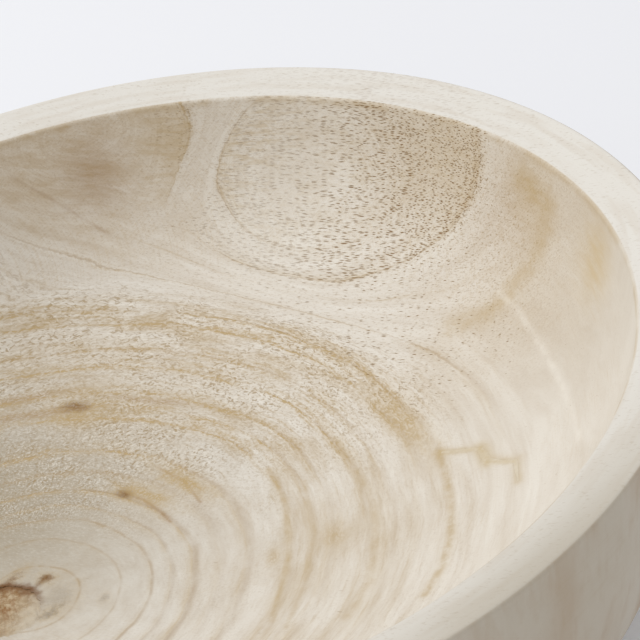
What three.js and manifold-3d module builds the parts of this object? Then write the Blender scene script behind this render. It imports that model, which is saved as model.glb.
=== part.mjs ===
// A thick-walled wooden bowl, turned from one block, with its plugged heart,
// a filled drying check and four felt pads under the foot.
// Millimetres, +Z up. The origin is on the table, under the middle of the bowl.

import * as THREE from 'three';
import { mergeVertices } from 'three/addons/utils/BufferGeometryUtils.js';
import Module from 'manifold-3d';

// Shell
const RIM_RADIUS = 125;
const RIM_WIDTH = 12;
const RIM_FALL = 3;
const SHELL_HEIGHT = 70;
const FLOOR_THICKNESS = 18;
const FOOT_RADIUS = 68;

// How far the outer and inner walls lean in on their way down from the rim
const OUTER_LEAN = 4;
const INNER_LEAN = 6;

// Shape of the two wall curves: the share of its height over which a wall stays steep,
// and the share of its run over which the underside or the floor stays flat
const OUTER_STEEPNESS = 0.71;
const OUTER_FLATNESS = 0.88;
const INNER_STEEPNESS = 0.76;
const INNER_FLATNESS = 0.73;

// Plug in the heart of the stem, a tapered pin right through the floor
const PLUG_RADIUS = 9;
const PLUG_TAPER = 1.5;
const PLUG_OFFSET = 44;
const PLUG_AZIMUTH = THREE.MathUtils.degToRad(206);

// Filling of the drying check, a strip that follows a stepped crack in the floor.
// The crack starts at an offset and azimuth from the bowl's axis, and its corners are
// given along and across the heading of its first stretch.
const CHECK_WIDTH = 1.6;
const CHECK_DEPTH = 6;
const CHECK_OFFSET = 67;
const CHECK_AZIMUTH = THREE.MathUtils.degToRad(-11);
const CHECK_HEADING = THREE.MathUtils.degToRad(-34);
const CHECK_CORNERS = [[0, 0], [9.5, 0], [12.6, -4.8], [19.9, -6.6], [22.3, -13.5]];

// Felt pads
const PAD_COUNT = 4;
const PAD_RADIUS = 9;
const PAD_THICKNESS = 2.7;
const PAD_EDGE_MARGIN = 4;

// Room left around inlaid pieces, and the glue under the pads
const INLAY_CLEARANCE = 0.3;
const GLUE_LINE = 0.3;

// How far a cutter or an uncut inlay reaches past the surface that trims it
const OVERRUN = 5;

// Fineness of the curves
const TURN_SEGMENTS = 72;
const OUTER_STEPS = 14;
const INNER_STEPS = 16;
const ROUND_SEGMENTS = 32;

// Heights that follow from the sizes above
const FOOT_Z = PAD_THICKNESS + GLUE_LINE;
const FLOOR_Z = FOOT_Z + FLOOR_THICKNESS;
const RIM_Z = FOOT_Z + SHELL_HEIGHT;
const INNER_RIM_RADIUS = RIM_RADIUS - RIM_WIDTH;
const INNER_RIM_Z = RIM_Z - RIM_FALL;

const wasm = await Module();
wasm.setup();

const materials = {
  wood: { color: 0xdcd3c3, roughness: 0.82, metalness: 0 },
  plug: { color: 0xb59c78, roughness: 0.9, metalness: 0 },
  filler: { color: 0xcdb994, roughness: 0.85, metalness: 0 },
  felt: { color: 0x8b8378, roughness: 1, metalness: 0 },
};

// Merges shared corners and drops the flat triangles that a turned profile leaves on its axis
function toSolid(geometry) {
  const bare = geometry.clone();
  bare.deleteAttribute('normal');
  bare.deleteAttribute('uv');
  const merged = mergeVertices(bare);
  const index = merged.index.array;
  const triangles = [];
  for (let i = 0; i < index.length; i += 3) {
    const [a, b, c] = [index[i], index[i + 1], index[i + 2]];
    if (a !== b && b !== c && c !== a) {
      triangles.push(a, b, c);
    }
  }
  return new wasm.Manifold(new wasm.Mesh({
    numProp: 3,
    vertProperties: merged.attributes.position.array,
    triVerts: Uint32Array.from(triangles),
  }));
}

function toGeometry(solid) {
  const mesh = solid.getMesh();
  const geometry = new THREE.BufferGeometry();
  geometry.setAttribute('position', new THREE.BufferAttribute(mesh.vertProperties, 3));
  geometry.setIndex(new THREE.BufferAttribute(mesh.triVerts, 1));
  geometry.computeVertexNormals();
  return geometry;
}

function namedMesh(name, geometry, material) {
  const mesh = new THREE.Mesh(geometry, new THREE.MeshStandardMaterial(material));
  mesh.name = name;
  return mesh;
}

function polar(radius, azimuth) {
  return new THREE.Vector2(radius * Math.cos(azimuth), radius * Math.sin(azimuth));
}

// From the foot's edge up to the rim's outer edge
function outerWall() {
  return new THREE.CubicBezierCurve(
    new THREE.Vector2(FOOT_RADIUS, FOOT_Z),
    new THREE.Vector2(FOOT_RADIUS + OUTER_FLATNESS * (RIM_RADIUS - FOOT_RADIUS), FOOT_Z),
    new THREE.Vector2(RIM_RADIUS - OUTER_LEAN, RIM_Z - OUTER_STEEPNESS * SHELL_HEIGHT),
    new THREE.Vector2(RIM_RADIUS, RIM_Z),
  );
}

// From the rim's inner edge down to the middle of the floor
function innerWall() {
  return new THREE.CubicBezierCurve(
    new THREE.Vector2(INNER_RIM_RADIUS, INNER_RIM_Z),
    new THREE.Vector2(INNER_RIM_RADIUS - INNER_LEAN, INNER_RIM_Z - INNER_STEEPNESS * (INNER_RIM_Z - FLOOR_Z)),
    new THREE.Vector2(INNER_FLATNESS * INNER_RIM_RADIUS, FLOOR_Z),
    new THREE.Vector2(0, FLOOR_Z),
  );
}

// Height of the inside at a distance from the axis, found by halving along the inner wall
function insideHeight(radius) {
  const halvings = 40;
  const wall = innerWall();
  let low = 0;
  let high = 1;
  for (let i = 0; i < halvings; i += 1) {
    const middle = (low + high) / 2;
    if (wall.getPoint(middle).x > radius) {
      low = middle;
    } else {
      high = middle;
    }
  }
  return wall.getPoint(low).y;
}

function shellSolid() {
  const profile = [
    new THREE.Vector2(0, FOOT_Z),
    ...outerWall().getPoints(OUTER_STEPS),
    ...innerWall().getPoints(INNER_STEPS),
  ];
  return toSolid(new THREE.LatheGeometry(profile, TURN_SEGMENTS).rotateX(Math.PI / 2));
}

// The tapered pin in the heart, grown all round by a margin, from below the foot to above the floor
function plugBlank(margin) {
  const centre = polar(PLUG_OFFSET, PLUG_AZIMUTH);
  const bottom = FOOT_Z - OVERRUN;
  const top = insideHeight(PLUG_OFFSET) + OVERRUN;
  const pin = new THREE.CylinderGeometry(
    PLUG_RADIUS + margin,
    PLUG_RADIUS - PLUG_TAPER + margin,
    top - bottom,
    ROUND_SEGMENTS,
  );
  return toSolid(pin.rotateX(Math.PI / 2).translate(centre.x, centre.y, (top + bottom) / 2));
}

// Corners of a strip of even width along a line, out along one side and back along the other
function stripOutline(corners, halfWidth, endMargin) {
  const line = corners.map(([along, across]) => new THREE.Vector2(along, across));
  const last = line.length - 1;
  const headings = line.slice(1).map((point, i) => point.clone().sub(line[i]).normalize());
  line[0].addScaledVector(headings[0], -endMargin);
  line[last].addScaledVector(headings[last - 1], endMargin);
  const sides = line.map((point, i) => {
    const before = headings[Math.max(i - 1, 0)];
    const after = headings[Math.min(i, last - 1)];
    const heading = before.clone().add(after).normalize();
    const mitre = halfWidth / heading.dot(after);
    const offset = new THREE.Vector2(-heading.y, heading.x).multiplyScalar(mitre);
    return { left: point.clone().add(offset), right: point.clone().sub(offset) };
  });
  return [...sides.map((side) => side.right), ...sides.map((side) => side.left).reverse()];
}

// The stepped strip, grown all round by a margin, from below the check to above the rim
function checkBlank(margin) {
  const start = polar(CHECK_OFFSET, CHECK_AZIMUTH);
  const bottom = insideHeight(CHECK_OFFSET) - CHECK_DEPTH - margin;
  const outline = new THREE.Shape(stripOutline(CHECK_CORNERS, CHECK_WIDTH / 2 + margin, margin));
  const strip = new THREE.ExtrudeGeometry(outline, { depth: RIM_Z + OVERRUN - bottom, bevelEnabled: false });
  return toSolid(strip.rotateZ(CHECK_HEADING).translate(start.x, start.y, bottom));
}

function padGeometry(index) {
  const centre = polar(FOOT_RADIUS - PAD_EDGE_MARGIN - PAD_RADIUS, (2 * Math.PI * index) / PAD_COUNT);
  const pad = new THREE.CylinderGeometry(PAD_RADIUS, PAD_RADIUS, PAD_THICKNESS, ROUND_SEGMENTS);
  return pad.rotateX(Math.PI / 2).translate(centre.x, centre.y, PAD_THICKNESS / 2);
}

const shell = shellSolid();
const body = shell.subtract(plugBlank(INLAY_CLEARANCE)).subtract(checkBlank(INLAY_CLEARANCE));

const bowl = new THREE.Group();
bowl.add(namedMesh('bowl_body', toGeometry(body), materials.wood));
bowl.add(namedMesh('pith_plug', toGeometry(plugBlank(0).intersect(shell)), materials.plug));
bowl.add(namedMesh('check_filler', toGeometry(checkBlank(0).intersect(shell)), materials.filler));
for (let i = 0; i < PAD_COUNT; i += 1) {
  bowl.add(namedMesh(`felt_pad_${i + 1}`, padGeometry(i), materials.felt));
}

export default bowl;
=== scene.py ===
import math

import bmesh
import bpy
import numpy as np
from mathutils import Matrix, Vector, noise


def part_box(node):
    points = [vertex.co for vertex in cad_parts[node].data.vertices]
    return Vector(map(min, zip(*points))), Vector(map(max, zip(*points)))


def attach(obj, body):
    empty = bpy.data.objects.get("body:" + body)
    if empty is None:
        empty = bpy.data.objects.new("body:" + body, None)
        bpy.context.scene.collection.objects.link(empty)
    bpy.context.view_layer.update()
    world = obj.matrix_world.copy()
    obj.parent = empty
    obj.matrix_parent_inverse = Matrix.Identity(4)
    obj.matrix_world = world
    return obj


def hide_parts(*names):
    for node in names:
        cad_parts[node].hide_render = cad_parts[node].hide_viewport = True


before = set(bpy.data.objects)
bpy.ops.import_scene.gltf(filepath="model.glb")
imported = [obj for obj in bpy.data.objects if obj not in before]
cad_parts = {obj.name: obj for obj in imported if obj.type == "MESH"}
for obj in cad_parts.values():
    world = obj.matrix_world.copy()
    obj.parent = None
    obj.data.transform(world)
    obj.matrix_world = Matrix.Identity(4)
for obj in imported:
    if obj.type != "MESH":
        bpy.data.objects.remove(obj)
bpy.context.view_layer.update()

# Sizes are in millimetres here and become metres in the meshes.
MM = 0.001


def node_box_mm(node):
    """Lowest and highest corner of a CAD node in millimetres."""
    low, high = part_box(node)
    return [value / MM for value in low], [value / MM for value in high]


# Shell sizes, from the frame where it states them
body_low, body_high = node_box_mm("bowl_body")
RIM_RADIUS = body_high[0]
RIM_Z = body_high[2]
FOOT_Z = body_low[2]
RIM_WIDTH = 12
RIM_FALL = 3
FLOOR_THICKNESS = 18
FOOT_RADIUS = 68
OUTER_LEAN = 4
INNER_LEAN = 6
OUTER_STEEPNESS = 0.71
OUTER_FLATNESS = 0.88
INNER_STEEPNESS = 0.76
INNER_FLATNESS = 0.73
FLOOR_Z = FOOT_Z + FLOOR_THICKNESS
INNER_RIM_RADIUS = RIM_RADIUS - RIM_WIDTH
INNER_RIM_Z = RIM_Z - RIM_FALL

# Softened edges of the rim
OUTER_EDGE_ROUND = 1.4
INNER_EDGE_ROUND = 0.9

# Marks of the lathe, warp from drying and facets from sanding: depth, and wavelengths or waves all round
TOOL_MARK_DEPTH = 0.02
TOOL_MARK_LENGTHS = (3.1, 4.3, 5.9, 8.7)
WARP_DEPTH = 0.10
WARP_WAVES = (2, 3, 5)
FACET_DEPTH = 0.05
FACET_WAVES = (7, 11, 17)

# Plug, where the CAD has it
PLUG_RADIUS = 9
PLUG_TAPER = 1.5
PLUG_OFFSET = 44
PLUG_AZIMUTH = math.radians(206)

# Raggedness of the plug's edge (depth, waves all round and seed), and the gap around it
PLUG_RAGGED = ((0.45, (2, 3, 4, 5), 21), (0.35, (9, 13, 19, 23), 22), (0.18, (31, 43), 23))
PLUG_GAP = 0.05
PLUG_GAP_SPREAD = 0.09
PLUG_GAP_WAVES = (2, 3, 7)
PLUG_GAP_SHIFT = 0.25

# Top of the plug: how deep it lies, its lumps (pitch and height), its cracks and its worn edge
PLUG_SUNK = 0.14
PLUG_MIDDLE_SUNK = 0.4
PLUG_LUMPS = ((0.45, 0.12), (1.3, 0.08))
PLUG_CRACK_PITCH = 0.16
PLUG_CRACK_SHIFT = (4.2, 1.7, 0)
PLUG_CRACK_WIDTH = 0.05
PLUG_CRACK_DEPTH = 0.10
PLUG_WORN_DEPTH = 0.10
PLUG_WORN_SHARE = 0.1

# How far the lower ends of the plug and of the filling stay short
END_GAP = 0.1

# Filled check, where the CAD has it, with the share of its width along its path
CHECK_WIDTH = 1.6
CHECK_DEPTH = 6
CHECK_OFFSET = 67
CHECK_AZIMUTH = math.radians(-11)
CHECK_HEADING = math.radians(-34)
CHECK_TAPER = ((0, 0.4), (0.33, 0.75), (0.42, 1.3), (0.54, 1.3), (0.64, 0.8), (0.8, 0.6), (1, 0.25))
CHECK_CORNERS = ((0, 0), (9.5, 0), (12.6, -4.8), (19.9, -6.6), (22.3, -13.5))
CHECK_RAGGED = 0.35
CHECK_LEFT_WAVES = (0.31, 0.17, 0.07)
CHECK_RIGHT_WAVES = (0.27, 0.13, 0.06)
SLOT_ROOM = 0.02
FILLER_DENT = 0.02
FILLER_DENT_SPREAD = 0.015
FILLER_DENT_PITCH = 0.9

# Felt pads: their soft edge and its unevenness
PAD_NODES = ("felt_pad_1", "felt_pad_2", "felt_pad_3", "felt_pad_4")
PAD_EDGE = 0.5
PAD_FUZZ = 0.012
PAD_FUZZ_PITCH = 1.1
PAD_FUZZ_SQUEEZE = 3

# How far a cutter reaches past the surface that it cuts
OVERRUN = 5

# Mesh fineness
TURN_SEGMENTS = 360
PROFILE_STEP = 1.3
CURVE_POINTS = 2000
LINE_STEPS = 600
EDGE_POINTS = 9
PLUG_SIDES = 180
PLUG_RINGS = 44
CHECK_STEPS = 56
FILLER_COLUMNS = 5
PAD_SIDES = 96
PAD_EDGE_POINTS = 9
PAD_RING_SHARES = (0.25, 0.5, 0.75)
NEARLY_SAME = 0.003

# The photograph's camera: its distance from the middle of the rim, its angles and its lens in pixels
PHOTO_PIXELS = 640
PHOTO_FOCAL_PIXELS = 1800
SENSOR_MM = 36
CAMERA_DISTANCE = 394.6
CAMERA_ELEVATION = math.radians(32.566)
CAMERA_PAN = math.radians(6.534)
CAMERA_TILT = math.radians(-1.339)
CAMERA_ROLL = math.radians(-15.60)
NEAR_CLIP = 0.01

# Stage: the floor lies just under the pads, and the lamp's size and distance are in metres
FLOOR_HALF_SIZE = 6000
FLOOR_DROP = 0.05
FLOOR_ROUGHNESS = 0.9
WORLD_STRENGTH = 0.645
KEY_AZIMUTH = math.radians(155)
KEY_ELEVATION = math.radians(52)
KEY_DISTANCE = 3
KEY_SIZE = 2
KEY_POWER = 41

TURN = 2 * math.pi
UP = (0, 0, 1)
AWAY = (0, 1, 0)
LEVEL = (1, 1, 0)


def polar(radius, azimuth):
    return np.array([radius * math.cos(azimuth), radius * math.sin(azimuth)])


PLUG_CENTRE = polar(PLUG_OFFSET, PLUG_AZIMUTH)
CHECK_START = polar(CHECK_OFFSET, CHECK_AZIMUTH)


def linear(red, green, blue):
    """A colour written as 0 to 255 display values, as the shader's linear colour."""
    def channel(value):
        value /= 255
        return value / 12.92 if value <= 0.04045 else ((value + 0.055) / 1.055) ** 2.4
    return (channel(red), channel(green), channel(blue), 1)


# Curves of the turned profile

def unit(vectors):
    """The same vectors with a length of 1."""
    return vectors / np.linalg.norm(vectors, axis=-1, keepdims=True)


def bezier(points, count):
    """Points along a cubic curve, evenly spaced by length."""
    p0, p1, p2, p3 = (np.array(point, dtype=float) for point in points)
    t = np.linspace(0, 1, CURVE_POINTS)[:, None]
    dense = (1 - t) ** 3 * p0 + 3 * (1 - t) ** 2 * t * p1 + 3 * (1 - t) * t ** 2 * p2 + t ** 3 * p3
    return even_steps(dense, count)


def run_lengths(line):
    """Length of a polyline up to each of its points."""
    return np.concatenate([[0], np.cumsum(np.linalg.norm(np.diff(line, axis=0), axis=1))])


def even_steps(line, count):
    """The same polyline with count + 1 points, evenly spaced by length."""
    lengths = run_lengths(line)
    wanted = np.linspace(0, lengths[-1], count + 1)
    return np.stack([np.interp(wanted, lengths, line[:, axis]) for axis in range(line.shape[1])], axis=1)


OUTER_WALL = (
    (FOOT_RADIUS, FOOT_Z),
    (FOOT_RADIUS + OUTER_FLATNESS * (RIM_RADIUS - FOOT_RADIUS), FOOT_Z),
    (RIM_RADIUS - OUTER_LEAN, RIM_Z - OUTER_STEEPNESS * (RIM_Z - FOOT_Z)),
    (RIM_RADIUS, RIM_Z),
)
INNER_WALL = (
    (INNER_RIM_RADIUS, INNER_RIM_Z),
    (INNER_RIM_RADIUS - INNER_LEAN, INNER_RIM_Z - INNER_STEEPNESS * (INNER_RIM_Z - FLOOR_Z)),
    (INNER_FLATNESS * INNER_RIM_RADIUS, FLOOR_Z),
    (0, FLOOR_Z),
)
INNER_LINE = bezier(INNER_WALL, LINE_STEPS)


def inside_height(radius):
    """Height of the bowl's inside at a distance from its axis."""
    return np.interp(radius, INNER_LINE[::-1, 0], INNER_LINE[::-1, 1])


def rounded(line_in, corner, line_out, reach):
    """Joins two polylines at a corner by a soft arc that starts and ends a reach away from it."""
    before = line_in[np.linalg.norm(line_in - corner, axis=1) > reach]
    after = line_out[np.linalg.norm(line_out - corner, axis=1) > reach]
    start = corner + reach * unit(before[-1] - corner)
    end = corner + reach * unit(after[0] - corner)
    t = np.linspace(0, 1, EDGE_POINTS)[:, None]
    arc = (1 - t) ** 2 * start + 2 * (1 - t) * t * corner + t ** 2 * end
    return np.concatenate([before, arc, after])


def shell_profile():
    """The closed profile from the middle of the underside, over the rim, to the middle of the floor."""
    def steps(line):
        return even_steps(line, max(2, round(run_lengths(line)[-1] / PROFILE_STEP)))
    outer_edge = np.array([RIM_RADIUS, RIM_Z])
    inner_edge = np.array([INNER_RIM_RADIUS, INNER_RIM_Z])
    base = steps(np.array([[0, FOOT_Z], [FOOT_RADIUS, FOOT_Z]]))
    outer = steps(bezier(OUTER_WALL, LINE_STEPS))
    top = steps(np.array([outer_edge, inner_edge]))
    wall = rounded(np.concatenate([base, outer[1:]]), outer_edge, top, OUTER_EDGE_ROUND)
    return rounded(wall, inner_edge, steps(INNER_LINE), INNER_EDGE_ROUND)


def waves(values, lengths, seed):
    """A smooth uneven wave between about -1 and 1 with the given wavelengths."""
    draw = np.random.default_rng(seed)
    total = np.zeros_like(values)
    for length in lengths:
        total += np.sin(TURN * values / length + draw.uniform(0, TURN))
    return total / len(lengths)


def waves_round(angle, counts, seed):
    """The same kind of wave around a turn, given by how often each part of it goes round."""
    return waves(angle, [TURN / count for count in counts], seed)


# Meshes

def linked(name, data):
    """Makes an object of a mesh, lamp or camera and puts it in the scene."""
    made = bpy.data.objects.new(name, data)
    bpy.context.scene.collection.objects.link(made)
    return made


def new_object(name, vertices, faces):
    """Makes a mesh object from vertices in millimetres."""
    mesh = bpy.data.meshes.new(name)
    mesh.from_pydata((np.asarray(vertices) * MM).tolist(), [], faces)
    return linked(name, mesh)


def new_piece(name, vertices, faces, material, node, slot_name):
    """Makes a shown piece, puts it in place of its CAD node and lets it ride on the root."""
    piece = new_object(name, vertices, faces)
    piece.data.validate()
    piece.data.update()
    piece.data.materials.append(material)
    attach(piece, "root")
    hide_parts(node)
    return piece


def ring_faces(ring_count, sides):
    """Faces of rings of points that follow each other, closed by two tips that come after them."""
    first_tip = ring_count * sides
    last = first_tip - sides
    faces = []
    for side in range(sides):
        beyond = (side + 1) % sides
        faces.append((first_tip, beyond, side))
        for here in range(0, last, sides):
            there = here + sides
            faces.append((here + side, here + beyond, there + beyond, there + side))
        faces.append((last + side, last + beyond, first_tip + 1))
    return faces


def smooth(piece, sharp_degrees):
    """Smooth shading, apart from edges sharper than an angle."""
    mesh = piece.data
    mesh.shade_smooth()
    mesh.set_sharp_from_angle(angle=math.radians(sharp_degrees))


def shell_mesh():
    """Vertices and faces of the turned shell, with the marks that the lathe and sanding leave."""
    profile = shell_profile()
    lengths = run_lengths(profile)
    tangent = unit(np.gradient(profile, axis=0))
    normal = np.stack([tangent[:, 1], -tangent[:, 0]], axis=1)
    inner = profile[1:-1]
    azimuth = np.arange(TURN_SEGMENTS) * TURN / TURN_SEGMENTS

    tool_marks = TOOL_MARK_DEPTH * waves(lengths[1:-1], TOOL_MARK_LENGTHS, seed=3)
    warp = WARP_DEPTH * waves_round(azimuth, WARP_WAVES, seed=5)
    facets = FACET_DEPTH * waves_round(azimuth, FACET_WAVES, seed=8)
    height = (inner[:, 1] - FOOT_Z) / (RIM_Z - FOOT_Z)
    push = tool_marks[:, None] + np.clip(height, 0, 1)[:, None] * (warp + facets)[None, :]

    radius = inner[:, 0][:, None] + normal[1:-1, 0][:, None] * push
    up = inner[:, 1][:, None] + normal[1:-1, 1][:, None] * push
    rings = np.stack([radius * np.cos(azimuth), radius * np.sin(azimuth), up], axis=2)
    tips = [[0, 0, profile[0, 1]], [0, 0, profile[-1, 1]]]
    vertices = np.concatenate([rings.reshape(-1, 3), tips])
    return vertices, ring_faces(len(inner), TURN_SEGMENTS)


def prism(outline, bottom, top, bottom_outline=None):
    """A closed prism between two heights, as a cutter."""
    lower = outline if bottom_outline is None else bottom_outline
    count = len(outline)
    vertices = [(x, y, bottom) for x, y in lower] + [(x, y, top) for x, y in outline]
    faces = [(i, (i + 1) % count, count + (i + 1) % count, count + i) for i in range(count)]
    faces.append(tuple(reversed(range(count))))
    faces.append(tuple(range(count, 2 * count)))
    return vertices, faces


def clean(mesh):
    """Merges the corners that a cut leaves almost on top of each other."""
    work = bmesh.new()
    work.from_mesh(mesh)
    bmesh.ops.remove_doubles(work, verts=work.verts, dist=NEARLY_SAME * MM)
    bmesh.ops.dissolve_degenerate(work, edges=work.edges, dist=NEARLY_SAME * MM)
    work.to_mesh(mesh)
    work.free()


def cut(piece, vertices, faces):
    """Cuts a closed mesh out of a piece."""
    cutter = new_object("cutter", vertices, faces)
    modifier = piece.modifiers.new("cut", "BOOLEAN")
    modifier.operation = "DIFFERENCE"
    modifier.solver = "MANIFOLD"
    modifier.object = cutter
    depsgraph = bpy.context.evaluated_depsgraph_get()
    result = bpy.data.meshes.new_from_object(piece.evaluated_get(depsgraph))
    piece.modifiers.clear()
    clean(result)
    old_meshes = (piece.data, cutter.data)
    piece.data = result
    bpy.data.objects.remove(cutter)
    for mesh in old_meshes:
        bpy.data.meshes.remove(mesh)


# Outlines of the plug and of the check

def plug_outline(shrink):
    """Ragged outline of the heart's hole, or of the plug in it, which shrank unevenly away from the edge."""
    angle = np.arange(PLUG_SIDES) * TURN / PLUG_SIDES
    ragged = sum(depth * waves_round(angle, counts, seed) for depth, counts, seed in PLUG_RAGGED)
    loose = np.clip(waves_round(angle, PLUG_GAP_WAVES, seed=24) + PLUG_GAP_SHIFT, 0, 1)
    radius = PLUG_RADIUS + ragged - shrink * (PLUG_GAP + PLUG_GAP_SPREAD * loose)
    return PLUG_CENTRE + radius[:, None] * np.stack([np.cos(angle), np.sin(angle)], axis=1)


def check_corners():
    """Corners of the check's stepped path in the bowl's frame."""
    cos, sin = math.cos(CHECK_HEADING), math.sin(CHECK_HEADING)
    return np.array(CHECK_CORNERS) @ np.array([[cos, sin], [-sin, cos]]) + CHECK_START


def check_outline(grow):
    """Ragged outline of the check along its path."""
    line = even_steps(check_corners(), CHECK_STEPS)
    heading = unit(np.gradient(line, axis=0))
    side = np.stack([-heading[:, 1], heading[:, 0]], axis=1)
    along = np.linspace(0, 1, len(line))
    taper = np.interp(along, *zip(*CHECK_TAPER))

    def reach(lengths, seed):
        return (CHECK_WIDTH / 2 * taper * (1 + CHECK_RAGGED * waves(along, lengths, seed)) + grow)[:, None]
    left = line + side * reach(CHECK_LEFT_WAVES, seed=31)
    right = line - side * reach(CHECK_RIGHT_WAVES, seed=32)
    return np.concatenate([right, left[::-1]])


# Shader graphs

class Field:
    """A value in a shader graph that plain arithmetic works on."""

    def __init__(self, graph, socket):
        self.graph = graph
        self.socket = socket

    def __add__(self, other):
        return self.graph.math("ADD", self, other)

    def __sub__(self, other):
        return self.graph.math("SUBTRACT", self, other)

    def __rsub__(self, other):
        return self.graph.math("SUBTRACT", other, self)

    def __mul__(self, other):
        return self.graph.math("MULTIPLY", self, other)

    def __truediv__(self, other):
        return self.graph.math("DIVIDE", self, other)

    def __neg__(self):
        return self * -1

    __radd__ = __add__
    __rmul__ = __mul__


class Graph:
    """Builds one material's node tree."""

    def __init__(self, name):
        self.material = bpy.data.materials.new(name)
        self.material.use_nodes = True
        self.tree = self.material.node_tree
        self.shader = self.tree.nodes["Principled BSDF"]

    def put(self, node, name, value):
        socket = node.inputs[name]
        if isinstance(value, Field):
            self.tree.links.new(value.socket, socket)
        else:
            socket.default_value = value

    def node(self, kind, output, settings=None, **inputs):
        node = self.tree.nodes.new(kind)
        for key, value in (settings or {}).items():
            setattr(node, key, value)
        for key, value in inputs.items():
            self.put(node, key.replace("_", " "), value)
        return Field(self, node.outputs[output])

    def math(self, operation, first, second=None):
        node = self.tree.nodes.new("ShaderNodeMath")
        node.operation = operation
        for index, value in enumerate((first, second)):
            if value is not None:
                self.put(node, index, value)
        return Field(self, node.outputs[0])

    def vector_math(self, operation, first, second=None, output="Vector"):
        node = self.tree.nodes.new("ShaderNodeVectorMath")
        node.operation = operation
        self.put(node, 0, first)
        if second is not None:
            self.put(node, "Scale" if operation == "SCALE" else 1, second)
        return Field(self, node.outputs[output])

    def position(self):
        """Place on the object in millimetres."""
        place = self.node("ShaderNodeTexCoord", "Object")
        return self.vector_math("SCALE", place, 1 / MM)

    def dot(self, vector, direction):
        return self.vector_math("DOT_PRODUCT", vector, direction, output="Value")

    def length(self, vector):
        return self.vector_math("LENGTH", vector, output="Value")

    def level_length(self, vector):
        """Length of a vector as seen from above."""
        return self.length(self.vector_math("MULTIPLY", vector, LEVEL))

    def combine(self, x, y, z):
        return self.node("ShaderNodeCombineXYZ", "Vector", X=x, Y=y, Z=z)

    def split(self, vector):
        node = self.tree.nodes.new("ShaderNodeSeparateXYZ")
        self.put(node, 0, vector)
        return [Field(self, socket) for socket in node.outputs]

    def noise(self, vector, size, detail=2, roughness=0.5, distortion=0):
        """Noise between 0 and 1 whose lumps are about a size across, in millimetres."""
        return self.node(
            "ShaderNodeTexNoise", "Fac",
            Vector=vector, Scale=1 / size, Detail=detail, Roughness=roughness, Distortion=distortion)

    def swing(self, *args, **kwargs):
        """Noise between about -1 and 1."""
        return self.noise(*args, **kwargs) * 2 - 1

    def step(self, value, low, high):
        """0 below low, 1 above high and smooth between."""
        return self.node(
            "ShaderNodeMapRange", "Result", {"interpolation_type": "SMOOTHSTEP"},
            Value=value, **{"From Min": low, "From Max": high, "To Min": 0, "To Max": 1})

    def fall(self, value, low, high):
        """1 below low, 0 above high and smooth between."""
        return 1 - self.step(value, low, high)

    def exp(self, value):
        return self.math("EXPONENT", value)

    def bell(self, value, width):
        """1 at 0, falling off on both sides over a width."""
        ratio = value / width
        return self.exp(-(ratio * ratio))

    def clamp(self, value):
        return self.node("ShaderNodeClamp", "Result", Value=value)

    def mix(self, share, first, second):
        """Blends two colours."""
        node = self.tree.nodes.new("ShaderNodeMix")
        node.data_type = "RGBA"
        self.put(node, 0, share)
        self.put(node, 6, first)
        self.put(node, 7, second)
        return Field(self, node.outputs[2])

    def lookup(self, value, pairs, span, constant=False):
        """A curve through pairs of (value, result), both over 0 to span."""
        node = self.tree.nodes.new("ShaderNodeValToRGB")
        ramp = node.color_ramp
        ramp.interpolation = "CONSTANT" if constant else "LINEAR"
        while len(ramp.elements) > 1:
            ramp.elements.remove(ramp.elements[0])
        for index, (at, result) in enumerate(pairs):
            element = ramp.elements[0] if index == 0 else ramp.elements.new(at / span)
            element.position = at / span
            element.color = (result, result, result, 1)
        self.put(node, "Fac", value / span)
        return Field(self, node.outputs["Color"])

    def surface(self, colour, roughness, relief, depth, strength):
        """Closes the material with its colour, its roughness and a relief whose depth is in metres."""
        bump = self.node("ShaderNodeBump", "Normal", Height=relief, Distance=depth, Strength=strength)
        for name, value in (("Base Color", colour), ("Roughness", roughness), ("Normal", bump)):
            self.put(self.shader, name, value)
        return self.material

    def stretch_distance(self, place, start, end):
        """Distance from a straight stretch between two points."""
        run = Vector(end) - Vector(start)
        offset = self.vector_math("SUBTRACT", place, start)
        share = self.clamp(self.dot(offset, tuple(run)) / run.length_squared)
        beside = self.vector_math("SUBTRACT", offset, self.vector_math("SCALE", tuple(run), share))
        return self.length(beside)


# Growth of the wood

# Where the stem's heart crosses the floor, and the side to which its rings grew wider
HEART = (-33, -17, 0)
WIDE_SIDE = math.radians(60)
WIDENING = 0.13
WIDENING_START = (30, 65)

# Direction of the fibres in the wall, level with the table, and the level direction across them
FIBRE = (0.815, -0.579, 0)
ACROSS = (0.579, 0.815, 0)

# Swellings of the growth layers in the far wall:
# middle, height in millimetres of growth, and reach along the fibres, across them and upwards
SWELLINGS = (
    ((52.6, 75.4, 50.2), 52.5, 36, 38.7, 27.6),
    ((5.3, 113.4, 66.8), 128.8, 19.5, 28.4, 15.6),
    ((20, 105, 47), 24, 9, 9, 10),
)
SWELLING_START = (88, 108)

# The pale channel between the first two swellings: its ends, its depth in growth and its half width
CHANNEL = ((47, 103, 70), (30.3, 99.8, 46.2))
CHANNEL_DEPTH = 18
CHANNEL_HALF_WIDTH = 3.5

# In the left of the far wall the growth rises less from this height on
LEFT_WALL_Z = 35
LEFT_WALL_LOSS = 0.78

# To the right of this seam the wall follows the layers and cuts few of them
SEAM_AZIMUTH = math.radians(11.5)
SEAM_SIDE = (-math.sin(SEAM_AZIMUTH), math.cos(SEAM_AZIMUTH), 0)
CALM_GROWTH = 112
CALM_SHARE = 0.30

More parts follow.
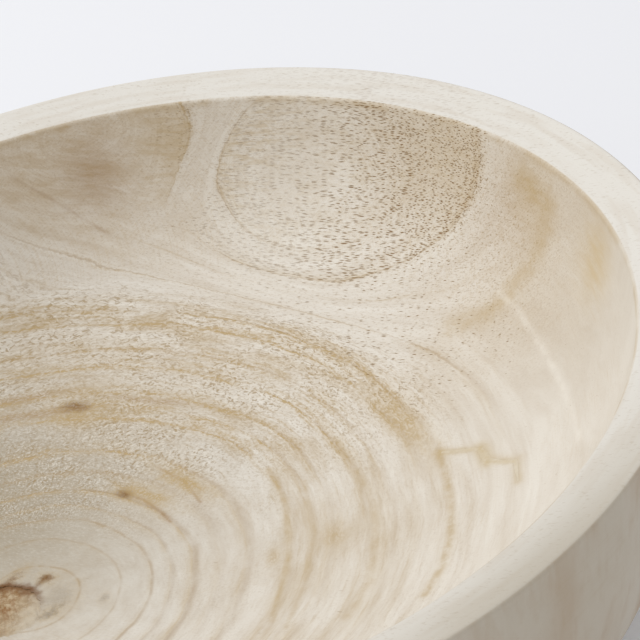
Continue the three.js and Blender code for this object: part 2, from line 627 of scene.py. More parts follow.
# Growth at which each ring starts, how dark its first wood is, and how wide that band is,
# then the growth over which the floor's wood ends
RINGS = (
    (0, 0.20, 0.5), (11, 0.55, 0.6), (20, 0.35, 0.5), (27, 0.60, 0.6), (31.5, 0.45, 0.6),
    (36.5, 0.95, 1), (42, 0.45, 0.8), (47.5, 0.85, 1.4), (56.5, 1.00, 3), (60.5, 0.70, 2.2),
    (64.5, 0.90, 3), (72.5, 1.00, 3), (78, 0.80, 2.6), (85.5, 1.00, 3), (89.8, 1.00, 2.6),
    (105, 0.60, 0.9), (120.3, 0.18, 1), (133, 0.60, 2.2), (149, 0.90, 3.4), (168, 0.10, 2),
)
FLOOR_END = (92, 104)
RING_SPAN = 256
WIDEST_BAND = 4

# Open pores: their size across and their stretch along the fibres, their share against growth,
# and the middle of the place where they crowd
PORE_CELL = 0.42
PORE_STRETCH = 6
PORE_CROWD = (
    (84, 0), (89.5, 0.80), (97, 0.65), (104, 0.30), (106, 0.35), (119, 0.20), (121, 0.30),
    (131, 0.30), (133.2, 1), (135.5, 1), (137.5, 0.90), (147, 0.85), (149.2, 1), (158, 0.80),
    (170, 0.55),
)
DENSE_PORES = (94, 58, 62)

# Other places that differ from the wood around them, some of them by painted shade: middle and reach
# Darker wood and painted shade of the left wall on the floor beside the heart
HEART_TONE_AND_SHADE = ((-40, 18, 22), 50)
SHADED_RIGHT = ((112, -10, 54), 38)
FRAYED_EDGE = ((31, 105, 60), 12)
FAINT_EDGE = ((42, 100, 55), 14)
BROWN_LEFT = ((-6, 110, 58), 38)
DRAWN_GRAIN = ((46, 100, 60), 16)
PALE_FIGURE = ((60, 88, 46), 24)
FUZZY_WALL = ((101, 36, 48), 20)
SMOOTH_WALL = ((-20, 85, 35), 30)
# Painted shade on the near rim, darker towards its outer edge
NEAR_RIM_SHADE = ((60, -105, 72), 50)


def stem_place(g, place):
    """Distance out from the heart, and the direction around it as a unit pair."""
    x, y, _ = g.split(g.vector_math("SUBTRACT", place, HEART))
    out = g.math("MAXIMUM", g.math("SQRT", x * x + y * y), 0.5)
    return out, x / out, y / out


def growth(g, place, out, around_x, around_y):
    """How far out in the stem a point grew, in millimetres, and how clearly its rings show."""
    x, y, z = g.split(place)
    to_wide_side = (around_x * math.cos(WIDE_SIDE) + around_y * math.sin(WIDE_SIDE)) * out
    plain = out - g.step(out, *WIDENING_START) * to_wide_side * WIDENING
    calm = g.fall(g.dot(place, SEAM_SIDE), -8, 46) * g.step(x, 20, 60)
    total = plain - g.math("MAXIMUM", plain - CALM_GROWTH, 0) * calm * (1 - CALM_SHARE)
    outside = g.step(plain, *SWELLING_START)
    raised = []
    for middle, height, along_reach, across_reach, up_reach in SWELLINGS:
        offset = g.vector_math("SUBTRACT", place, middle)
        along = g.dot(offset, FIBRE) / along_reach
        across = g.dot(offset, ACROSS) / across_reach
        up = g.dot(offset, UP) / up_reach
        raised.append(outside * height * g.exp(-(along * along + across * across + up * up)))
        total = total + raised[-1]
    channel = g.stretch_distance(place, *CHANNEL)
    total = total - g.bell(channel, CHANNEL_HALF_WIDTH) * CHANNEL_DEPTH
    far_left = g.fall(x, 5, 25) * g.step(y, 70, 90)
    total = total - g.math("MAXIMUM", z - LEFT_WALL_Z, 0) * LEFT_WALL_LOSS * far_left
    age = total + g.swing(place, 26, 2) * 1.6 + g.swing(place, 5, 1) * 0.35
    swollen = g.step(raised[0], 1.5, 5) + g.step(raised[1] + raised[2], 4, 12)
    swollen = g.clamp(swollen) * g.step(x, 20, 30)
    in_channel = g.fall(channel, 4, 8) * g.fall(age, 146, 149)
    inner_rings = g.fall(age, 128, 132)
    return age, g.math("MAXIMUM", swollen * (1 - in_channel), inner_rings), g.bell(channel, 8)


# Colours of the wood, the filling, the plug, the felt and the floor
PALE = linear(236, 231, 222)
LATE = linear(220, 211, 198)
RIM_PALE = linear(233, 229, 221)
CREAM = linear(243, 238, 228)
# SHADY is the colour of painted shade; beside the heart it also stands for darker wood
SHADY = linear(165, 153, 131)
EARLY = linear(192, 168, 126)
RING_LINE = linear(156, 124, 80)
PORE = linear(130, 92, 38)
FLECK = linear(156, 130, 90)
BROWN = linear(186, 159, 114)
RED_BROWN = linear(166, 134, 98)
GREY = linear(150, 140, 128)
DARK_STAIN = linear(112, 70, 22)
TAN = linear(190, 164, 116)
YELLOW = linear(214, 192, 148)
FILLING = linear(200, 180, 140)
FILLER_PALE = linear(232, 226, 214)
FILLER_DULL = linear(222, 213, 198)
PLUG_PALE = linear(196, 175, 143)
PLUG_BROWN = linear(154, 122, 82)
PLUG_CRACK = linear(142, 96, 56)
PLUG_EDGE = linear(120, 80, 40)
ROTTEN = linear(140, 94, 46)
HEART_WOOD = linear(193, 178, 153)
HEART_PALE = linear(208, 197, 178)
FELT_DARK = linear(120, 113, 104)
FELT_PALE = linear(158, 150, 139)
FLOOR_COLOUR = linear(243, 244, 248)

# How far the filling's colour soaks in beside each stretch of the check, and its strength there
CHECK_SOAK = ((1, 0.62), (2.1, 0.80), (1, 0.62), (1.2, 0.45))

# Stains of the floor: middle, reach across the rings, reach along them, colour and strength
STAINS = (
    ((-13.4, 49.4), 1.9, 3.4, DARK_STAIN, 1.00),
    ((-14.5, 45), 2.6, 5, TAN, 0.45),
    ((-24, 50), 1.4, 12, RED_BROWN, 0.40),
    ((-30, 57), 1.2, 14, RED_BROWN, 0.35),
    ((5, 44), 1, 12, RED_BROWN, 0.40),
    ((-6.8, 11.4), 1.4, 2, DARK_STAIN, 1.00),
    ((-2, 9), 1.8, 6, TAN, 0.80),
    ((7.5, 9.5), 1.8, 6.5, TAN, 0.90),
    ((36, -26.5), 2.6, 3.6, TAN, 0.40),
    ((21.2, -26.6), 1.2, 2.4, TAN, 0.40),
    ((61, 3), 2.4, 11, TAN, 0.55),
    ((-28.6, -11), 1.2, 1.6, DARK_STAIN, 1.00),
    ((-38.5, -10.6), 1.1, 4.5, DARK_STAIN, 0.85),
    ((-29.6, -23.6), 1.1, 2.4, GREY, 1.00),
    ((-27, -19), 3, 4, GREY, 0.45),
    ((-16.8, -23.3), 0.9, 1.2, GREY, 0.50),
)

# Soft marks, one of them a painted highlight: corners, half width, colour and strength
MARKS = (
    (((106, 35, 63), (108, 22.5, 59.5), (105, 21.5, 51), (98, 22, 41), (90.5, 22, 36), (82, 26, 32)),
     3.4, TAN, 0.50),
    # This pale line is a painted highlight along a ridge left by the lathe
    (((94.3, 25, 38.7), (96, 14, 38.2), (96, -4, 37.8), (94.2, -21, 38.5), (90.5, -40, 40.5)),
     1, CREAM, 0.42),
    (((-14, 110.5, 60), (-4, 107, 50.5), (7.5, 99.5, 40.5)), 0.5, RED_BROWN, 0.35),
    (((65.3, -12, 26), (64, -23, 26), (61.7, -34, 26.4), (58.2, -44, 27.2), (54, -51.6, 27.8),
      (48, -59, 28)), 1.2, TAN, 0.62),
    (((45.4, 6.6, 22.5), (46.9, -19, 23), (44.8, -31, 23.5), (39, -46, 24.5), (31.5, -55.4, 25)),
     1.4, TAN, 0.42),
    (((34, -4, 21.8), (32, -23, 22), (25.3, -40, 22.7), (19, -51.5, 23.6)), 0.8, TAN, 0.40),
    (((27.7, 4.4, 21.3), (28.5, -8.3, 21.5), (24.3, -29, 22), (16.6, -47.7, 23)), 0.9, TAN, 0.50),
    (((-7.8, 12.8, 21), (-3, 7.6, 20.8), (-0.2, 2.1, 20.9), (1.7, -3.2, 20.8)), 0.5, RED_BROWN, 0.85),
    (((2.5, 17.9, 21), (7.7, 9.6, 21), (9.7, 0.6, 21)), 0.5, RED_BROWN, 0.55),
    (((-34, -13.8, 22), (-31.5, -13.2, 21.9), (-28.7, -10.9, 21.6)), 0.8, DARK_STAIN, 0.80),
    (((66, -13, 26), (74, -18, 28), (74, -23, 28), (80, -29, 31), (77, -37, 31)), 1.5, TAN, 0.30),
)

# Tints of the wall: middle, reach, colour, even strength and strength along streaks,
# and the growth over which a tint sets in, if any
TINTS = (
    ((8, 109, 55), 9, RED_BROWN, 0, 0.9, None),
    ((30, 106, 61), 10, TAN, 0.1, 0.7, (148, 150)),
    ((111, -3, 59), 8, YELLOW, 0, 1.2, None),
    ((108, 18, 54), 34, BROWN, 0.10, 0.3, None),
    ((107, 31, 60), 9, TAN, 0, 0.8, None),
    ((102, 37, 52), 15, RED_BROWN, 0.05, 0.20, None),
    (DENSE_PORES, 20, TAN, 0.1, 0.5, (131, 134)),
)


def smoothness(g, place):
    """From 0 at the back, where fibres stand up, to 1 at the front, where the wood is sanded smooth."""
    return g.fall(g.dot(place, AWAY), -18, 28)


def spot(g, place, middle, reach):
    """1 at a point and fading off all round it."""
    return g.bell(g.length(g.vector_math("SUBTRACT", place, middle)), reach)


def ground_colour(g, place, age, in_channel, smoothed, around_x, around_y):
    """Pale wood with fine and broad stripes that follow the rings, darker by the heart, where darker wood
    and painted shade are mixed in, and with painted shade on the right.
    """
    fine = g.swing(g.combine(around_x * 8, around_y * 8, age / 0.9), 1, 3, 0.6)
    fine = fine * (1 - in_channel)
    broad = g.swing(g.combine(around_x * 4, around_y * 4, age / 4.5), 1, 1)
    colour = g.mix(g.clamp(0.38 + broad * 0.9 + fine * 0.7), PALE, LATE)
    floor = g.step(age, 44, 58) * g.fall(age, *FLOOR_END) * (1 - smoothed * 0.6)
    colour = g.mix(g.step(broad, 0.02, 0.45) * floor * 0.35, colour, EARLY)
    colour = g.mix(g.step(fine, 0.08, 0.50) * floor * 0.42, colour, EARLY)
    colour = g.mix(g.step(-fine, 0.10, 0.50) * floor * 0.50, colour, CREAM)
    # Darker wood mixed with painted shade on the floor beside the heart
    colour = g.mix(spot(g, place, *HEART_TONE_AND_SHADE) * 0.84, colour, SHADY)
    return g.mix(spot(g, place, *SHADED_RIGHT) * 0.20, colour, SHADY), fine


def fibre_grain(g, place, age, around_x, around_y):
    """Short curled fibres that lie along the rings, as noise between 0 and 1."""
    sway = g.swing(place, 1.8, 1)
    lay = g.combine(around_x * 72 + sway, around_y * 72, age / 0.48 + sway * 1.5)
    return g.noise(lay, 1, 1, 0.55, 0.5)


def flecked(g, colour, place, age, grain, smoothed):
    """The same colour with the floor's raised fibres: dark gaps and pale strands."""
    where = g.step(age, 18, 34) * g.fall(age, *FLOOR_END) * (1 - smoothed * 0.85)
    where = where * (0.45 + 0.55 * g.step(g.noise(place, 14, 2), 0.36, 0.60))
    dark = g.step(grain, 0.54, 0.66) * where
    light = g.fall(grain, 0.34, 0.46) * where
    colour = g.mix(dark * 0.70, colour, FLECK)
    return g.mix(light * 0.55, colour, CREAM), dark


def along_figure(g, place):
    """Distance along the fibres from the middle of the first swelling."""
    return g.dot(g.vector_math("SUBTRACT", place, SWELLINGS[0][0]), FIBRE)


def ring_strength(g, place, age):
    """How clear the rings are: they fade in the first swelling and in a wedge of growth in front."""
    faded = g.step(age, 146, 148) * g.step(along_figure(g, place), -23, -14) * 0.75
    wedge = g.step(age, 84, 85.5) * g.fall(age, 116, 119) * 0.9
    return 1 - g.math("MAXIMUM", faded, wedge * g.fall(g.dot(place, AWAY), -24, -12))


def ringed(g, colour, place, age, fine, grain, shown, smoothed, around_x, around_y):
    """The same colour with the rings: a dark line where each starts, and a band of open fibres after it."""
    age = age + g.swing(place, 1.3, 2) * (1 - smoothed) * 0.7
    age = age + g.swing(place, 2.2, 4, 0.7) * spot(g, place, *FRAYED_EDGE) * 9
    soft = smoothed * g.step(age, 24, 44)

    def of_ring(rows, column, most):
        pairs = [(ring[0], row[column] / most) for ring, row in zip(RINGS, rows)]
        return g.lookup(age, pairs, RING_SPAN, True) * most
    following = [*RINGS[1:], (RING_SPAN, 0, 1)]
    strength = ring_strength(g, place, age)
    since = age - of_ring(RINGS, 0, RING_SPAN)
    left = of_ring(following, 0, RING_SPAN) - age
    darkness = of_ring(RINGS, 1, 1) * strength
    coming = of_ring(following, 1, 1) * strength
    width = of_ring(RINGS, 2, WIDEST_BAND)

    patchy = g.noise(g.combine(around_x * 5, around_y * 5, age / 7), 1, 2)
    patchy = (0.35 + g.step(patchy, 0.32, 0.62) * 0.65) * shown
    line = g.bell(since - 0.30 - soft * 1.2, 0.32 + soft * 0.6)
    line = line * darkness * patchy * (1 - soft * 0.55)
    line = line * (1 - spot(g, place, *FAINT_EDGE) * 0.6)
    line = line * (1 - g.step(age, 50, 58) * g.fall(age, 98, 104) * 0.5)
    fibres = smoothed + (1 - smoothed) * (0.60 + 0.8 * g.step(grain, 0.38, 0.60))
    band = g.exp(-(since / width)) * darkness + g.exp(-(left / (0.6 + soft * 0.8))) * coming * 0.8
    band = band * patchy * (0.62 + fine * (1.3 - smoothed * 0.8)) * (1 - soft * 0.25)
    colour = g.mix(g.clamp(band * fibres), colour, EARLY)
    return g.mix(g.clamp(line * 0.60), colour, RING_LINE), line, since


def pore_mask(g, place, age, since, shown, smoothed):
    """Open pores: slender cells along the fibres, cut across or along by the surface."""
    x, _, z = g.split(place)
    drift = g.swing(place, 9, 1) * 0.8
    drift_up = g.swing(g.vector_math("ADD", place, (31, 7, 53)), 8, 1) * 0.8
    cells = g.tree.nodes.new("ShaderNodeTexVoronoi")
    cell_place = g.combine(g.dot(place, FIBRE) / PORE_STRETCH, g.dot(place, ACROSS) + drift, z + drift_up)
    g.put(cells, "Vector", cell_place)
    g.put(cells, "Scale", 1 / PORE_CELL)
    g.put(cells, "Randomness", 0.85)
    apart = Field(g, cells.outputs["Distance"]) * PORE_CELL
    chance, size, depth = g.split(Field(g, cells.outputs["Color"]))
    in_wall = g.step(g.dot(place, ACROSS), 48, 70)
    crowd = g.lookup(age, PORE_CROWD, RING_SPAN) * shown * (0.35 + 0.65 * in_wall)
    beyond_seam = g.step(g.dot(place, SEAM_SIDE), 10, 26)
    crowd = crowd * g.fall(smoothed, 0.15, 0.75)
    crowd = crowd * g.step(x, 22, 42) * g.math("MAXIMUM", beyond_seam, g.fall(z, 33, 42))
    crowd = crowd + spot(g, place, DENSE_PORES, 18) * 0.35
    crowd = crowd * (1 - g.step(z, 36, 46) * g.fall(age, 130, 133) * 0.85)
    first = g.step(age, 132, 133) * g.fall(since, 1, 2.2)
    present = g.step(crowd * 1.05 - chance, -0.02, 0.02)
    radius = (0.105 + size * 0.045 + first * 0.03) * (0.75 + 0.25 * g.step(age, 128, 133))
    contrast = 0.26 + 0.66 * g.step(along_figure(g, place), -14, 22)
    pore = g.fall(apart, radius * 0.6, radius * 1.35) * present
    surround = g.fall(apart, radius * 0.8, radius * 2.2) * present
    return pore, (0.5 + depth * 0.5) * contrast, surround * contrast


def stained(g, colour, place, fine, grain):
    """The same colour with the stains, each drawn out along the rings and streaked by them."""
    x, y, _ = g.split(place)
    ragged = g.swing(place, 2.6, 3, 0.65) * 0.9 + fine * 1.1 + (grain - 0.5) * 2.2 - 0.25
    broken = 0.20 + 0.80 * g.step(grain, 0.36, 0.62)
    for middle, reach_across, reach_along, tint, strength in STAINS:
        heading = unit(np.subtract(middle, HEART[:2]))
        off_x, off_y = x - middle[0], y - middle[1]
        across = (off_x * heading[0] + off_y * heading[1]) / reach_across
        along = (off_y * heading[0] - off_x * heading[1]) / reach_along
        spread = g.math("SQRT", across * across + along * along) + ragged
        colour = g.mix(g.fall(spread, 0, 2.8) * strength * broken * 0.7, colour, TAN)
        colour = g.mix(g.fall(spread, -0.1, 1.5) * strength * (0.4 + broken * 0.6), colour, tint)
    return colour


def marked(g, colour, place):
    """The same colour with the soft marks of the wall, one of them a painted highlight, broken up along
    their length.
    """
    broken = 0.40 + 0.60 * g.step(g.noise(place, 4, 4, 0.7), 0.35, 0.62)
    for corners, half_width, tint, strength in MARKS:
        stretches = [g.stretch_distance(place, *ends) for ends in zip(corners, corners[1:])]
        apart = stretches[0]
        for stretch in stretches[1:]:
            apart = g.math("MINIMUM", apart, stretch)
        colour = g.mix(g.bell(apart, half_width) * broken * strength, colour, tint)
    return colour


def tinted(g, colour, place, age):
    """The same colour with the broad brown and yellow areas of the wall."""
    x, y, z = g.split(place)
    aside = x - 50
    drop = z - aside * aside * 0.003
    streaks = g.noise(g.combine(x / 6, y / 6, drop), 1.1, 4, 0.6)
    broad_streaks = g.step(g.noise(g.combine(x / 3, y / 3, drop), 3.4, 5, 0.7), 0.32, 0.70)
    brown = spot(g, place, *BROWN_LEFT) * g.step(age, 103, 110)
    colour = g.mix(g.clamp(brown * (0.16 + broad_streaks * 0.40)), colour, BROWN)
    for middle, reach, tint, even, along_streaks, grown in TINTS:
        share = spot(g, place, middle, reach) * (even + streaks * along_streaks)
        if grown:
            share = share * g.step(age, *grown)
        colour = g.mix(g.clamp(share), colour, tint)
    drawn = g.step(streaks, 0.46, 0.64) * g.step(age, 149, 152)
    colour = g.mix(drawn * (0.16 + spot(g, place, *DRAWN_GRAIN) * 0.45), colour, EARLY)
    colour = g.mix(spot(g, place, *PALE_FIGURE) * 0.30, colour, CREAM)
    cloud = g.step(g.noise(place, 40, 3), 0.40, 0.75)
    return g.mix(cloud * 0.12, colour, BROWN)


def gritty(g, colour, place, smoothed):
    """The same colour with the fine fuzz of sanded fibres."""
    lay = g.combine(g.dot(place, FIBRE) / 2.5, g.dot(place, ACROSS), g.dot(place, UP))
    grit = g.noise(lay, 0.42, 2, 0.7)
    rough = 1 - smoothed * 0.75 + spot(g, place, *FUZZY_WALL) * 1.1
    rough = rough * (1 - spot(g, place, *SMOOTH_WALL) * 0.5)
    colour = g.mix(g.step(grit, 0.50, 0.74) * rough * 0.38, colour, FLECK)
    return g.mix(g.fall(grit, 0.28, 0.48) * rough * 0.45, colour, RIM_PALE), grit * rough


def sanding(g, place):
    """Fine marks of the sanding, which run around the bowl."""
    x, y, z = g.split(place)
    radius = g.level_length(place)
    lay = g.combine(x / radius * 16, y / radius * 16, (z + radius) / 0.45)
    marks = g.swing(lay, 1, 2, 0.6) * g.step(g.noise(place, 24, 2), 0.40, 0.62)
    for slant in (0.8, -0.8):
        rising = g.combine(x / radius * 25, y / radius * 25, (z + (y - x) * slant) / 0.42)
        marks = marks + g.swing(rising, 1, 1, 0.6) * g.step(z, 30, 38) * g.step(y, -20, 30) * 1.2
    return marks


def face_masks(g, place):
    """Masks of the rim's flat top and of the outside."""
    normal = g.node("ShaderNodeNewGeometry", "Normal")
    _, _, height = g.split(place)
    _, _, upward = g.split(normal)
    rim = g.step(upward, 0.80, 0.95) * g.step(height, INNER_RIM_Z - 2, INNER_RIM_Z - 0.5)
    outward = g.vector_math("NORMALIZE", g.vector_math("MULTIPLY", place, LEVEL))
    outside = g.step(g.dot(normal, outward), 0.15, 0.55)
    return rim, outside


def rim_colour(g, place):
    """Pale wood of the rim with faint streaks along it."""
    x, y, z = g.split(place)
    streaks = g.noise(g.combine(x / 9, y / 9, g.level_length(place)), 2, 3)
    colour = g.mix(g.step(streaks, 0.42, 0.70) * 0.5, RIM_PALE, LATE)
    specks = g.noise(g.combine(g.dot(place, FIBRE) / 3, g.dot(place, ACROSS), z), 0.5, 2, 0.6)
    return g.mix(g.step(specks, 0.56, 0.72) * 0.22, colour, FLECK)


def outer_bands(g, place):
    """Soft upright bands of the outside, between 0 and 1."""
    x, y, z = g.split(place)
    lean = z * 0.15
    broad = g.noise(g.combine(x + lean, y - lean, z / 14), 13, 3, 0.5)
    thin = g.noise(g.combine(x + lean, y - lean, z / 20), 2.6, 3, 0.6)
    return g.clamp(g.step(broad, 0.42, 0.72) * 0.42 + g.step(thin, 0.45, 0.75) * 0.16)


def soaked(g, colour, place):
    """The same colour with the filling's colour along the check, strongest in its middle."""
    corners = [(*corner.tolist(), float(inside_height(np.hypot(*corner)))) for corner in check_corners()]
    ragged = 0.9 + g.swing(place, 1.4, 3, 0.6) * 0.5
    share = 0
    for (reach, strength), start, end in zip(CHECK_SOAK, corners, corners[1:]):
        beside = g.bell(g.stretch_distance(place, start, end), reach) * strength
        share = g.math("MAXIMUM", beside, share)
    return g.mix(g.clamp(share * ragged), colour, FILLING)


def plug_place(g, place):
    """Distance from the plug's axis, and the offset from it to the right and away."""
    offset = g.vector_math("SUBTRACT", place, (*PLUG_CENTRE.tolist(), 0))
    to_right, away, _ = g.split(offset)
    return g.level_length(offset), to_right, away


def hole_mask(g, place):
    """The ragged edge and the wall of the hole in the heart."""
    out, _, away = plug_place(g, place)
    far_side = g.step(away, -3, 6)
    reach = PLUG_RADIUS + 0.3 + far_side * 0.8 + g.swing(place, 2, 3, 0.6) * 1.2
    return g.fall(out - reach, -1.2, 0.8) * (0.10 + far_side * 0.75)


def edged(g, colour, place, rim, outside):
    """The same colour with painted shade in a line below the rim, the pale rim, painted shade on the near
    rim and on the outside, and the outside's brown bands.
    """
    # Painted shade in a thin line just below the rim's inner edge, broken up by noise
    shade_below_rim = g.bell(g.dot(place, UP) - INNER_RIM_Z + 0.8, 1.1) * (1 - outside)
    shade_below_rim = shade_below_rim * (0.08 + g.step(g.noise(place, 9, 3), 0.40, 0.62) * 0.34)
    colour = g.mix(shade_below_rim, colour, EARLY)
    colour = g.mix(rim * 0.93, colour, rim_colour(g, place))
    towards_edge = g.step(g.level_length(place), INNER_RIM_RADIUS - 2, RIM_RADIUS)
    # Painted shade on the near rim, growing towards its outer edge and weaker on the outside
    near_rim_shade = spot(g, place, *NEAR_RIM_SHADE) * (0.16 + towards_edge * 0.46)
    colour = g.mix(near_rim_shade * (1 - outside * 0.34), colour, SHADY)
    # Painted shade over the whole outside; the brown bands after it are grain
    colour = g.mix(outside * 0.40, colour, SHADY)
    return g.mix(outside * outer_bands(g, place), colour, RED_BROWN)


def wood_material():
    """The shell's solid wood, worked out from the place of each point in the stem."""
    g = Graph("pale_wood")
    place = g.position()
    out, around_x, around_y = stem_place(g, place)
    age, shown, in_channel = growth(g, place, out, around_x, around_y)
    smoothed = smoothness(g, place)
    colour, fine = ground_colour(g, place, age, in_channel, smoothed, around_x, around_y)
    grain = fibre_grain(g, place, age, around_x, around_y)
    colour, dark_fleck = flecked(g, colour, place, age, grain, smoothed)
    colour, grit = gritty(g, colour, place, smoothed)
    marks = sanding(g, place)
    colour = g.mix(g.clamp(marks * 0.35), colour, EARLY)
    colour, line, since = ringed(g, colour, place, age, fine, grain, shown, smoothed, around_x, around_y)
    colour = tinted(g, colour, place, age)
    colour = marked(g, colour, place)
    colour = stained(g, colour, place, fine, grain)
    colour = soaked(g, colour, place)
    colour = g.mix(hole_mask(g, place), colour, DARK_STAIN)
    rim, outside = face_masks(g, place)
    colour = edged(g, colour, place, rim, outside)
    pore, pore_depth, surround = pore_mask(g, place, age, since, shown, smoothed)
    pore = pore * (1 - rim * 0.75) * (1 - outside * 0.4)
    colour = g.mix(surround * (1 - rim) * 0.26, colour, TAN)
    colour = g.mix(g.clamp(pore * pore_depth), colour, PORE)

    relief = fine * 0.12 + marks * 0.25 - pore - line * 0.3 - dark_fleck * 0.35 - grit * 0.4
    roughness = 0.64 + g.swing(place, 8, 3) * 0.06 + pore * 0.2
    g.put(g.shader, "Specular IOR Level", 0.3)
    return g.surface(colour, roughness, relief, depth=0.00012, strength=0.7)


def plug_material():
    """Mottled, cracked heartwood: brown on the far side, and as pale as the wood on the near one."""
    g = Graph("plug_wood")
    place = g.position()
    out, to_right, away = plug_place(g, place)
    cells = g.noise(place, 1.8, 4, 0.7)
    splits = g.noise(g.vector_math("MULTIPLY", place, (2.2, 0.7, 1)), 9, 3, 0.6, 0.4)
    cracks = g.fall(g.math("ABSOLUTE", splits - 0.5), 0, 0.05)
    colour = g.mix(g.step(cells, 0.38, 0.62), PLUG_PALE, PLUG_BROWN)
    colour = g.mix(cracks * 0.35, colour, PLUG_CRACK)
    nearer = to_right * 0.85 - away * 0.53 + g.swing(place, 2.4, 4, 0.7) * 5
    colour = g.mix(g.step(nearer, -2, 7) * 0.70, colour, HEART_WOOD)
    colour = g.mix(g.step(nearer, 3, 9) * 0.75, colour, HEART_PALE)
    streaks = g.noise(g.vector_math("MULTIPLY", place, (1, 0.4, 1)), 3.2, 3, 0.65)
    rotten = g.step(streaks, 0.50, 0.64) * g.fall(nearer, -4, 6)
    colour = g.mix(rotten * 0.90, colour, ROTTEN)
    ragged = out + g.swing(place, 2.2, 3, 0.6) * 2.2
    edge = g.step(ragged, PLUG_RADIUS - 3, PLUG_RADIUS - 0.3) * (0.02 + g.step(away, -2, 7) * 0.85)
    colour = g.mix(edge, colour, PLUG_EDGE)
    return g.surface(colour, 0.75 + cells * 0.15, cells - cracks * 0.4, depth=0.0002, strength=0.6)


def filler_material():
    g = Graph("check_filling")
    place = g.position()
    grains = g.noise(place, 0.7, 3)
    colour = soaked(g, g.mix(grains, FILLER_PALE, FILLER_DULL), place)
    return g.surface(colour, 0.7 + grains * 0.15, grains, depth=0.0001, strength=0.6)


def felt_material():
    g = Graph("felt")
    place = g.position()
    fibres = g.noise(place, 0.5, 4, 0.65, 1.5)
    return g.surface(g.mix(fibres, FELT_DARK, FELT_PALE), 0.95, fibres, depth=0.0004, strength=0.9)


# Pieces

def tapered(outline):
    """An outline of the plug or its hole at the lower end."""
    return PLUG_CENTRE + (outline - PLUG_CENTRE) * (1 - PLUG_TAPER / PLUG_RADIUS)


def make_bowl():
    """The shell with the heart's hole and the check's slot cut out of it."""
    bowl = new_piece("turned_bowl", *shell_mesh(), wood_material(), "bowl_body", "pale_wood")
    hole = plug_outline(0)
    cut(bowl, *prism(hole, FOOT_Z - OVERRUN, inside_height(PLUG_OFFSET) + OVERRUN, tapered(hole)))
    slot_bottom = inside_height(CHECK_OFFSET) - CHECK_DEPTH
    cut(bowl, *prism(check_outline(SLOT_ROOM), slot_bottom, RIM_Z))
    smooth(bowl, sharp_degrees=40)


def plug_top(x, y, share):
    """Height of the plug's top at a point that lies at a share of the way out to its edge."""
    point = Vector((x, y, 0))
    lumps = sum(noise.noise(point * pitch) * height for pitch, height in PLUG_LUMPS)
    split = abs(noise.noise(point * PLUG_CRACK_PITCH + Vector(PLUG_CRACK_SHIFT)))
    crack = max(0, 1 - split / PLUG_CRACK_WIDTH)
    worn = max(0, (share - 1 + PLUG_WORN_SHARE) / PLUG_WORN_SHARE)
    sunk = PLUG_SUNK + PLUG_CRACK_DEPTH * crack + PLUG_WORN_DEPTH * worn
    return float(inside_height(np.hypot(x, y)) - sunk + lumps)


def make_plug():
    """The ragged plug: a flat lower end, straight sides and rings of points over its top."""
    outline = plug_outline(1)
    vertices = [(x, y, FOOT_Z + END_GAP) for x, y in tapered(outline)]
    for ring in range(PLUG_RINGS, 0, -1):
        share = ring / PLUG_RINGS
        for x, y in PLUG_CENTRE + (outline - PLUG_CENTRE) * share:
            vertices.append((x, y, plug_top(x, y, share)))
    vertices.append((*PLUG_CENTRE, FOOT_Z + END_GAP))
    vertices.append((*PLUG_CENTRE, float(inside_height(PLUG_OFFSET) - PLUG_MIDDLE_SUNK)))
    faces = ring_faces(PLUG_RINGS + 1, PLUG_SIDES)
    plug = new_piece("heart_plug", vertices, faces, plug_material(), "pith_plug", "plug_wood")
    smooth(plug, sharp_degrees=50)


def make_filler():
    """The filling: a strip between two ragged edges, flush with the floor."""
    outline = check_outline(0)
    rows = len(outline) // 2
    bottom = float(inside_height(CHECK_OFFSET) - CHECK_DEPTH + END_GAP)
    vertices = []
    for right, left in zip(outline[:rows], outline[:rows - 1:-1]):
        for column in range(FILLER_COLUMNS + 1):
            x, y = right + (left - right) * column / FILLER_COLUMNS
            dent = FILLER_DENT + FILLER_DENT_SPREAD * noise.noise(Vector((x, y, 0)) * FILLER_DENT_PITCH)
            vertices.append((x, y, float(inside_height(np.hypot(x, y)) - dent)))
        vertices.append((*left, bottom))
        vertices.append((*right, bottom))
    size = len(vertices) // rows
    last = (rows - 1) * size
    faces = [tuple(range(size)), tuple(reversed(range(last, last + size)))]
    for here in range(0, last, size):
        there = here + size
        for corner in range(size):
            beside = (corner + 1) % size
            faces.append((here + corner, there + corner, there + beside, here + beside))
    filler = new_piece("check_filling", vertices, faces, filler_material(), "check_filler", "check_filling")
    smooth(filler, sharp_degrees=50)


def make_pad(node, material):
    """A pressed felt disc with a soft, slightly uneven edge."""
    low, high = node_box_mm(node)
    centre = np.array([(low[0] + high[0]) / 2, (low[1] + high[1]) / 2])
    radius = (high[0] - low[0]) / 2 - PAD_EDGE
    middle = (low[2] + high[2]) / 2
    section = [(share * radius, low[2]) for share in PAD_RING_SHARES]
    for angle in np.linspace(-math.pi / 2, math.pi / 2, PAD_EDGE_POINTS):
        section.append((radius + PAD_EDGE * math.cos(angle), middle + (high[2] - middle) * math.sin(angle)))
    section += [(share * radius, high[2]) for share in reversed(PAD_RING_SHARES)]
    vertices = []
    for ring_radius, height in section:
        for angle in np.arange(PAD_SIDES) * TURN / PAD_SIDES:
            point = Vector((*polar(ring_radius, angle), height * PAD_FUZZ_SQUEEZE))
            fuzz = 1 + PAD_FUZZ * noise.noise(point * PAD_FUZZ_PITCH + Vector((*centre, 0)))
            vertices.append((*(centre + polar(ring_radius * min(fuzz, 1), angle)), height))
    vertices += [(*centre, low[2]), (*centre, high[2])]
    faces = ring_faces(len(section), PAD_SIDES)
    pad = new_piece(node.replace("felt_pad", "pressed_pad"), vertices, faces, material, node, "felt")
    smooth(pad, sharp_degrees=60)


# Stage

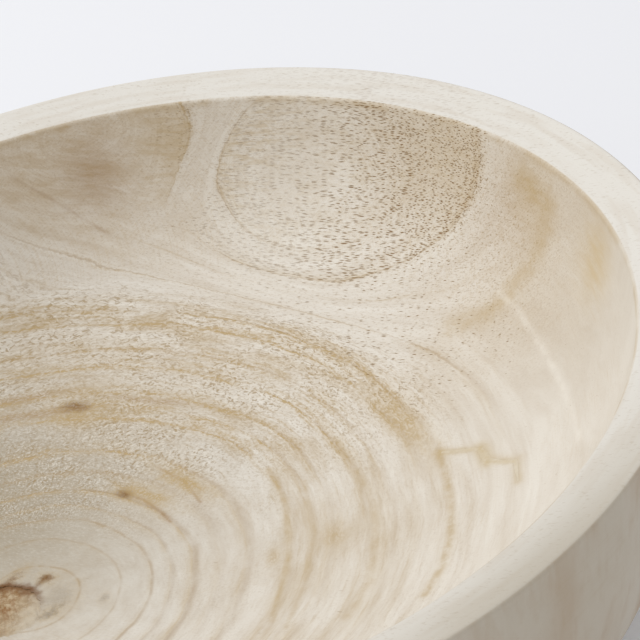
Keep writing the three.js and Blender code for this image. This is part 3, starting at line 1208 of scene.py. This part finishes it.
def make_floor():
    half = FLOOR_HALF_SIZE
    corners = [(x, y, -FLOOR_DROP) for x, y in ((-half, -half), (half, -half), (half, half), (-half, half))]
    floor = new_object("floor", corners, [(0, 1, 2, 3)])
    g = Graph("pale_floor")
    g.put(g.shader, "Base Color", FLOOR_COLOUR)
    g.put(g.shader, "Roughness", FLOOR_ROUGHNESS)
    floor.data.materials.append(g.material)


def make_light():
    """A soft square lamp that looks at the middle of the bowl."""
    data = bpy.data.lights.new("key", "AREA")
    data.shape = "SQUARE"
    data.size = KEY_SIZE
    data.energy = KEY_POWER
    lamp = linked("key", data)
    direction = Vector((*polar(math.cos(KEY_ELEVATION), KEY_AZIMUTH), math.sin(KEY_ELEVATION)))
    lamp.location = direction * KEY_DISTANCE
    lamp.rotation_euler = direction.to_track_quat("Z", "Y").to_euler()


def make_world():
    world = bpy.data.worlds.new("studio")
    bpy.context.scene.world = world
    world.use_nodes = True
    background = world.node_tree.nodes["Background"]
    background.inputs["Color"].default_value = (1, 1, 1, 1)
    background.inputs["Strength"].default_value = WORLD_STRENGTH


def turned(first, second, angle):
    """Two directions at right angles, turned in their plane."""
    cos, sin = math.cos(angle), math.sin(angle)
    return first * cos + second * sin, second * cos - first * sin


def make_camera():
    """The photograph's view: aimed at the middle of the rim, then panned, tilted and rolled."""
    middle = Vector((0, 0, RIM_Z * MM))
    place = Vector((0, -math.cos(CAMERA_ELEVATION), math.sin(CAMERA_ELEVATION))) * CAMERA_DISTANCE * MM
    forward = -place.normalized()
    right = Vector((1, 0, 0))
    up = right.cross(forward)
    forward, right = turned(forward, right, CAMERA_PAN)
    forward, up = turned(forward, up, CAMERA_TILT)
    right, up = turned(right, up, CAMERA_ROLL)
    data = bpy.data.cameras.new("camera")
    data.sensor_width = SENSOR_MM
    data.lens = SENSOR_MM * PHOTO_FOCAL_PIXELS / PHOTO_PIXELS
    data.clip_start = NEAR_CLIP
    camera = linked("camera", data)
    axes = Matrix((right, up, -forward)).transposed().to_4x4()
    camera.matrix_world = Matrix.Translation(middle + place) @ axes
    bpy.context.scene.camera = camera


make_camera()
make_bowl()
make_plug()
make_filler()
felt = felt_material()
for pad_node in PAD_NODES:
    make_pad(pad_node, felt)
make_floor()
make_world()
make_light()

bpy.context.scene.view_settings.view_transform = "Standard"
